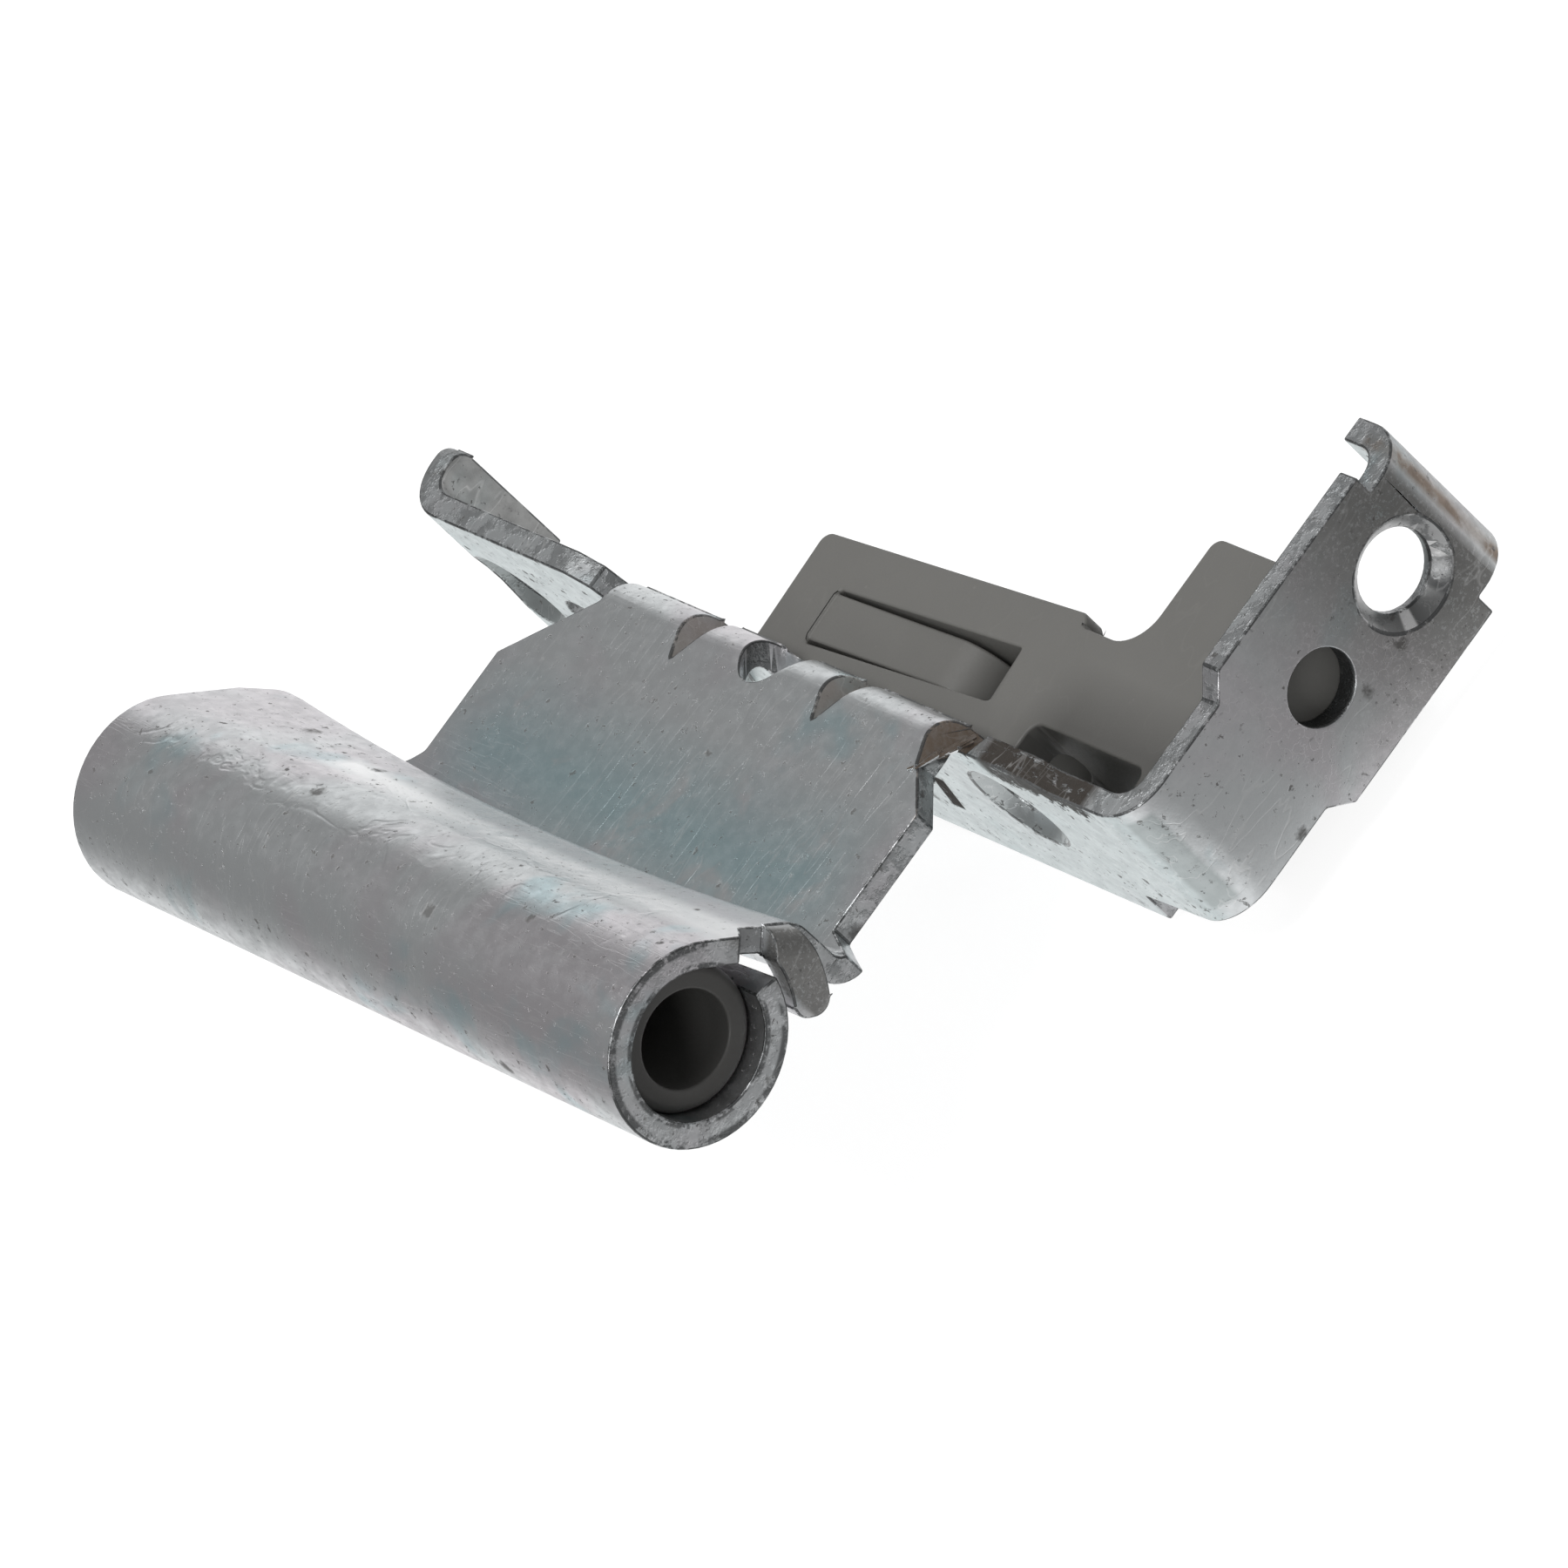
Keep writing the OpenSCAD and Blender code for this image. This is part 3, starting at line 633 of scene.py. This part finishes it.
    # Painted shade: the strip's countersinks are painted cooler and darker than its face
    sink_shade = times(tree, box_mask(tree, xyz, (None, 29.0, -22.5), (None, 31.6, -12), 0.2),
                 ranged(tree, facing[1], -0.92, -0.85), ranged(tree, facing[1], -0.2, -0.4))
    colour = mixed(tree, times(tree, sink_shade, 0.8), colour, SINK_SHADE_TINT)

    # The torn front edge beside the leaf's root: dark, brown, with bright flakes of metal
    ragged = noise_of(tree, place, 0.7, 5.0, 0.7)
    torn = times(tree, box_mask(tree, xyz, (28.0, 29, None), (40.5, 35, None), 0.7),
                 ranged(tree, maths(tree, "ADD", xyz[2], maths(tree, "MULTIPLY", ragged, 5.0)), -9.8, -9.5))
    flake = ranged(tree, noise_of(tree, in_millimetres(tree, (0.5, 1.0, 1.0)), 1.1, 4.0, 0.7), 0.55, 0.62, 1.0, 0.3)
    torn = times(tree, torn, flake)
    colour = mixed(tree, torn, colour, tuple(s.grime_and_shade))

    # Painted shade: the end of the plain hole beside it is painted as a short dark slit on the strip's outer face
    away = node_of(tree, "ShaderNodeVectorMath", operation="DOT_PRODUCT")
    linked(tree, away.inputs[0], place)
    away.inputs[1].default_value = SLIT_ACROSS
    slit = times(tree, box_mask(tree, xyz, (None, 28.5, SLIT_LOW), (None, 30.2, SLIT_HIGH), 0.15),
                 ranged(tree, maths(tree, "ABSOLUTE", maths(tree, "SUBTRACT", away.outputs["Value"], SLIT_AT)),
                        0.62, 0.8, 1.0, 0.0))
    colour = mixed(tree, slit, colour, tuple(s.grime_and_shade))

    # Pits and specks, larger ones in clusters
    shaken = node_of(tree, "ShaderNodeTexNoise")
    linked(tree, shaken.inputs["Vector"], place)
    shaken.inputs["Scale"].default_value = 2.2
    moved = node_of(tree, "ShaderNodeVectorMath", operation="MULTIPLY_ADD")
    linked(tree, moved.inputs[0], shaken.outputs["Color"])
    moved.inputs[1].default_value = (0.9, 0.9, 0.9)
    linked(tree, moved.inputs[2], place)
    pits = placed_group(tree, groups["specks"], Vector=moved.outputs[0], Spacing=1.5, Share=0.45, Size=0.16)
    dust = placed_group(tree, groups["specks"], Vector=moved.outputs[0], Spacing=0.75, Share=0.5, Size=0.24)
    dents = placed_group(tree, groups["specks"], Vector=moved.outputs[0], Spacing=5.0, Share=0.45, Size=0.15)
    grit = noise_of(tree, place, 1.7, 5.0, 0.7)
    grit = times(tree, ranged(tree, grit, 0.62, 0.65), ranged(tree, patch, 0.35, 0.6, 0.4, 1.0))
    spots = greatest(tree, maths(tree, "MULTIPLY", pits.outputs[0], 2.2, clamp=True), grit,
                     times(tree, dust.outputs[0], ranged(tree, patch, 0.42, 0.56)),
                     maths(tree, "MULTIPLY", dents.outputs[0], 2.0, clamp=True))
    colour = mixed(tree, maths(tree, "MULTIPLY", spots, 0.78), colour, tuple(s.pit))

    # Scratches along and across the sheet
    along = placed_group(tree, groups["scratches"], Vector=in_millimetres(tree, (0.25, 2.2, 2.2)), Scale=0.5,
                         Amount=ranged(tree, cloud, 0.45, 0.6))
    across = placed_group(tree, groups["scratches"], Vector=in_millimetres(tree, (1.8, 0.3, 1.2)), Scale=0.35,
                          Amount=ranged(tree, cloud, 0.4, 0.55, 1.0, 0.0))
    scratch = greatest(tree, along.outputs[0], across.outputs[0])
    colour = mixed(tree, maths(tree, "MULTIPLY", scratch, 0.22), colour, (0.9, 0.9, 0.9))

    # Rims: broken dark lines along the rounded rims, left out around the wing's plain hole
    broken = ranged(tree, noise_of(tree, place, 0.55, 5.0, 0.75), 0.4, 0.52)
    plain_hole_area = box_mask(tree, xyz, (42, 43, -22.5), (None, 50.5, -13), 0.2)
    rim_lines = times(tree, rim, broken, maths(tree, "SUBTRACT", 1.0, plain_hole_area))
    colour = mixed(tree, maths(tree, "MULTIPLY", rim_lines, 0.9), colour, dark)

    linked(tree, shader.inputs["Base Color"], colour)
    # The metal is lowered by the torn edge's grime, the slit's painted shade and the specks
    grimy_and_shaded = greatest(tree, slit, torn, times(tree, spots, 0.5))
    linked(tree, shader.inputs["Metallic"], maths(tree, "SUBTRACT", 1.0, grimy_and_shaded))
    rough = ranged(tree, mottle, 0.3, 0.7, s.roughness - 0.05, s.roughness + 0.08)
    rough = maths(tree, "ADD", rough, maths(tree, "MULTIPLY", greatest(tree, spots, reflection, cut, painted_shade, times(tree, greatest(tree, torn, slit), 2.5)), 0.2))
    linked(tree, shader.inputs["Roughness"], rough)

    # Height in hundredths of a millimetre: waves of the rolled sheet, mottling, pits, scratches, torn edges
    waves = noise_of(tree, in_millimetres(tree, (0.6, 1.0, 1.0)), 0.16, 2.0, 0.5)
    creases = noise_of(tree, in_millimetres(tree, (0.8, 1.0, 1.0)), 0.17, 3.0, 0.55, 0.6)
    creases = ranged(tree, maths(tree, "ABSOLUTE", maths(tree, "SUBTRACT", creases, 0.5)), 0.0, 0.05, 1.0, 0.0)
    creases = times(tree, creases, box_mask(tree, xyz, (None, 1, 3), (None, 12, None), 1.5))
    height = maths(tree, "MULTIPLY", waves, 14.0)
    for value, depth in ((mottle, 3.5), (grain, 1.4), (spots, -2.5), (scratch, -1.2), (times(tree, tear, cut), 9.0),
                         (creases, -5.0), (times(tree, ragged, torn), 40.0), (slit, -30.0)):
        height = maths(tree, "ADD", height, maths(tree, "MULTIPLY", value, depth))
    bump = node_of(tree, "ShaderNodeBump")
    bump.inputs["Strength"].default_value = 1.0
    bump.inputs["Distance"].default_value = 0.006 * MM
    linked(tree, bump.inputs["Height"], height)
    linked(tree, shader.inputs["Normal"], bump.outputs[0])
    return made


def plastic_material(name, colour, roughness):
    made, tree, shader = new_material(name)
    groups = shared_groups()
    place = in_millimetres(tree)
    cloud = noise_of(tree, place, 0.12, 3.0, 0.6)
    grain = noise_of(tree, place, 5.0, 3.0, 0.6)
    shade = mixed(tree, ranged(tree, cloud, 0.35, 0.65, 0.0, 0.16), tuple(colour), tuple(0.8 * c for c in colour))
    dust = placed_group(tree, groups["specks"], Vector=place, Spacing=1.5, Share=0.2, Size=0.1)
    shade = mixed(tree, maths(tree, "MULTIPLY", dust.outputs[0], 0.3), shade, tuple(1.7 * c for c in colour))
    rub = placed_group(tree, groups["scratches"], Vector=in_millimetres(tree, (1.0, 0.5, 1.0)), Scale=0.3,
                       Amount=ranged(tree, cloud, 0.5, 0.6))
    shade = mixed(tree, maths(tree, "MULTIPLY", rub.outputs[0], 0.12), shade, tuple(1.5 * c for c in colour))
    # Painted shade: darker towards the corner between the strip and the wing, where x is above 29 mm and y below 37.5
    # mm
    corner_shade = box_mask(tree, split_of(tree, place), (29, None, None), (None, 37.5, None), 2.5)
    shade = mixed(tree, maths(tree, "MULTIPLY", corner_shade, 0.5), shade, (0.02, 0.019, 0.017))
    linked(tree, shader.inputs["Base Color"], shade)
    linked(tree, shader.inputs["Roughness"], ranged(tree, grain, 0.3, 0.7, roughness - 0.05, roughness + 0.08))
    bump = node_of(tree, "ShaderNodeBump")
    bump.inputs["Strength"].default_value = 0.25
    bump.inputs["Distance"].default_value = 0.03 * MM
    linked(tree, bump.inputs["Height"], grain)
    linked(tree, shader.inputs["Normal"], bump.outputs[0])
    return made


# Pieces


def bow_ridge(bm, bow):
    """Bows the ridge over the barrel wall towards the pin, most at mid length."""
    for v in bm.verts:
        x, y, z = (c / MM for c in v.co)
        if z < -10.5 or y > 16 or y < 4.5:
            continue
        along = 1 - ((x - 1.0) / 33.0) ** 2
        if along <= 0:
            continue
        reach = eased(y, 4.8, 8.6) * (1 - eased(y, 12.4, 15.8))
        v.co.y -= bow * along * reach


class HINGE_OT_plate(bpy.types.Operator):
    """Folded steel plate with the rolled barrel: soft edges, a bowed ridge and worn zinc plating"""

    bl_idname = "hinge.plate"
    bl_label = "Folded plate"

    def execute(self, context):
        s = context.scene.hinge_plate
        plate = rounded(merged_copy("hinge_plate", "folded_plate"), s.edge_round)
        marked_faces(plate, 3.4 * MM)
        bm = bmesh.new()
        bm.from_mesh(plate.data)
        sliced(bm, 0, -33 * MM, 33 * MM, s.slice_step)
        bow_ridge(bm, s.ridge_bow)
        bmesh.ops.triangulate(bm, faces=[f for f in bm.faces if len(f.verts) > 4])
        bm.to_mesh(plate.data)
        bm.free()
        zinc = zinc_material(s)
        plate.data.materials.clear()
        plate.data.materials.append(zinc)
        torn_flakes(plate, s.flakes)
        smooth_by_angle(plate)
        dress(plate, "hinge_plate", zinc)
        return {"FINISHED"}


class HINGE_OT_bush(bpy.types.Operator):
    """Plastic pin bush in the barrel"""

    bl_idname = "hinge.bush"
    bl_label = "Pin bush"

    def execute(self, context):
        s = context.scene.hinge_plastic
        bush = rounded(merged_copy("bush", "pin_bush"), s.edge_round)
        smooth_by_angle(bush)
        dress(bush, "bush", plastic_material("dark bush plastic", s.bush_colour, s.roughness))
        return {"FINISHED"}


class HINGE_OT_block(bpy.types.Operator):
    """Moulded corner block with its sprung tongue"""

    bl_idname = "hinge.block"
    bl_label = "Corner block"

    def execute(self, context):
        s = context.scene.hinge_plastic
        block = rounded(merged_copy("corner_block", "moulded_block"), s.edge_round)
        smooth_by_angle(block)
        dress(block, "corner_block", plastic_material("grey block plastic", s.block_colour, s.roughness))
        return {"FINISHED"}


def seen_directly(tree):
    """1 for rays from the camera, from gloss and through glass."""
    path = node_of(tree, "ShaderNodeLightPath")
    seen = maths(tree, "MAXIMUM", path.outputs["Is Camera Ray"], path.outputs["Is Glossy Ray"])
    return path, maths(tree, "MAXIMUM", seen, path.outputs["Is Transmission Ray"])


def floor_material(s):
    """Pale floor: white to the eye and in the metal, shaded in front of the part, and with the part's shadow."""
    made, tree, shader = new_material("pale floor")
    path, seen = seen_directly(tree)
    xyz = split_of(tree, in_millimetres(tree))
    front = times(tree, ranged(tree, xyz[0], 45.0, 56.0), ranged(tree, xyz[1], 26.0, 38.0))
    front = greatest(tree, front, ranged(tree, xyz[0], 54.0, 66.0), ranged(tree, xyz[1], -8.0, -80.0))
    reach = node_of(tree, "ShaderNodeVectorMath", operation="LENGTH")
    linked(tree, reach.inputs[0], in_millimetres(tree))
    front = greatest(tree, front, ranged(tree, reach.outputs["Value"], 260.0, 700.0))
    gloss = path.outputs["Is Glossy Ray"]
    shade = maths(tree, "MULTIPLY", front, gloss)
    bright = ranged(tree, gloss, 0.0, 1.0, 0.86, 1.0)
    glow = maths(tree, "SUBTRACT", bright, maths(tree, "MULTIPLY", shade, 1.0 - s.floor_shade))
    linked(tree, shader.inputs["Base Color"], mixed(tree, gloss, (0.35, 0.35, 0.35), (0.0, 0.0, 0.0)))
    shader.inputs["Roughness"].default_value = 1.0
    shader.inputs["Specular IOR Level"].default_value = 0.0
    shader.inputs["Emission Color"].default_value = (1.0, 1.0, 1.0, 1.0)
    linked(tree, shader.inputs["Emission Strength"], maths(tree, "MULTIPLY", seen, glow))
    return made


def studio_world(s):
    world = bpy.data.worlds.new("soft studio")
    bpy.context.scene.world = world
    world.use_nodes = True
    tree = world.node_tree
    back = tree.nodes["Background"]
    path = node_of(tree, "ShaderNodeLightPath")
    towards = node_of(tree, "ShaderNodeTexCoord").outputs["Generated"]
    along, aside, up = split_of(tree, towards)
    wall = times(tree, ranged(tree, aside, 0.30, 0.45), ranged(tree, up, 0.51, 0.27), ranged(tree, along, 0.0, -0.3))
    sky = maths(tree, "MAXIMUM", wall, s.sky)
    glossy = mixed(tree, path.outputs["Is Glossy Ray"], (s.fill,) * 3, sky)
    linked(tree, back.inputs["Color"], mixed(tree, path.outputs["Is Camera Ray"], glossy, (1.0, 1.0, 1.0)))
    back.inputs["Strength"].default_value = 1.0


def soft_lamp(name, place, aim, size, power):
    data = bpy.data.lights.new(name, "AREA")
    data.shape = "DISK"
    data.size = size
    data.energy = power
    lamp = bpy.data.objects.new(name, data)
    lamp.location = place
    lamp.rotation_mode = "QUATERNION"
    lamp.rotation_quaternion = (Vector(aim) - Vector(place)).to_track_quat("-Z", "Y")
    bpy.context.scene.collection.objects.link(lamp)
    return lamp


class HINGE_OT_stage(bpy.types.Operator):
    """Floor, soft lamps and the camera at the photograph's angle"""

    bl_idname = "hinge.stage"
    bl_label = "Stage"

    def execute(self, context):
        s = context.scene.hinge_stage
        low = min(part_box(node)[0].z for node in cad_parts) - s.floor_gap
        half = s.floor_size / 2
        mesh = bpy.data.meshes.new("floor")
        mesh.from_pydata([(-half, -half, low), (half, -half, low), (half, half, low), (-half, half, low)],
                         [], [(0, 1, 2, 3)])
        mesh.materials.append(floor_material(s))
        floor = bpy.data.objects.new("floor", mesh)
        context.scene.collection.objects.link(floor)

        aim = Vector(s.aim)
        soft_lamp("top light", (0.05, -0.1, 1.0), aim, 0.7, 5.4)
        soft_lamp("camera side light", (0.8, -0.9, 0.6), aim, 0.5, 3.6)
        studio_world(s)

        back = Vector((math.cos(s.azimuth) * math.cos(s.elevation), math.sin(s.azimuth) * math.cos(s.elevation),
                       math.sin(s.elevation)))
        level_up = (Vector((0, 0, 1)) - back * back.z).normalized()
        level_right = (-back).cross(level_up)
        up = level_up * math.cos(s.roll) + level_right * math.sin(s.roll)
        right = (-back).cross(up)
        camera = bpy.data.objects.new("camera", bpy.data.cameras.new("camera"))
        camera.matrix_world = Matrix.Translation(aim + back * s.distance) @ Matrix(
            (right, up, back)).transposed().to_4x4()
        camera.data.lens = s.lens
        camera.data.sensor_width = s.sensor
        camera.data.clip_start = s.distance / 100
        camera.data.clip_end = s.distance * 20
        context.scene.collection.objects.link(camera)
        context.scene.camera = camera
        context.scene.view_settings.view_transform = "Standard"
        return {"FINISHED"}


class HINGE_PT_panel(bpy.types.Panel):
    """The hinge's settings and its pieces"""

    bl_idname = "HINGE_PT_panel"
    bl_label = "Window corner hinge"
    bl_space_type = "VIEW_3D"
    bl_region_type = "UI"
    bl_category = "Hinge"

    def draw(self, context):
        for group in (context.scene.hinge_plate, context.scene.hinge_plastic, context.scene.hinge_stage):
            box = self.layout.box()
            for name in group.__annotations__:
                box.prop(group, name)
        for operator in OPERATORS:
            self.layout.operator(operator.bl_idname)


OPERATORS = (HINGE_OT_plate, HINGE_OT_bush, HINGE_OT_block, HINGE_OT_stage)
SETTINGS = {"hinge_plate": PlateSettings, "hinge_plastic": PlasticSettings, "hinge_stage": StageSettings}
CLASSES = (*SETTINGS.values(), *OPERATORS, HINGE_PT_panel)


def register():
    for made in CLASSES:
        bpy.utils.register_class(made)
    for name, group in SETTINGS.items():
        setattr(bpy.types.Scene, name, PointerProperty(type=group))


def unregister():
    for name in SETTINGS:
        delattr(bpy.types.Scene, name)
    for made in reversed(CLASSES):
        bpy.utils.unregister_class(made)


def main():
    register()
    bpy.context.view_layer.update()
    for operator in OPERATORS:
        group, name = operator.bl_idname.split(".")
        getattr(getattr(bpy.ops, group), name)()


if __name__ == "__main__":
    main()
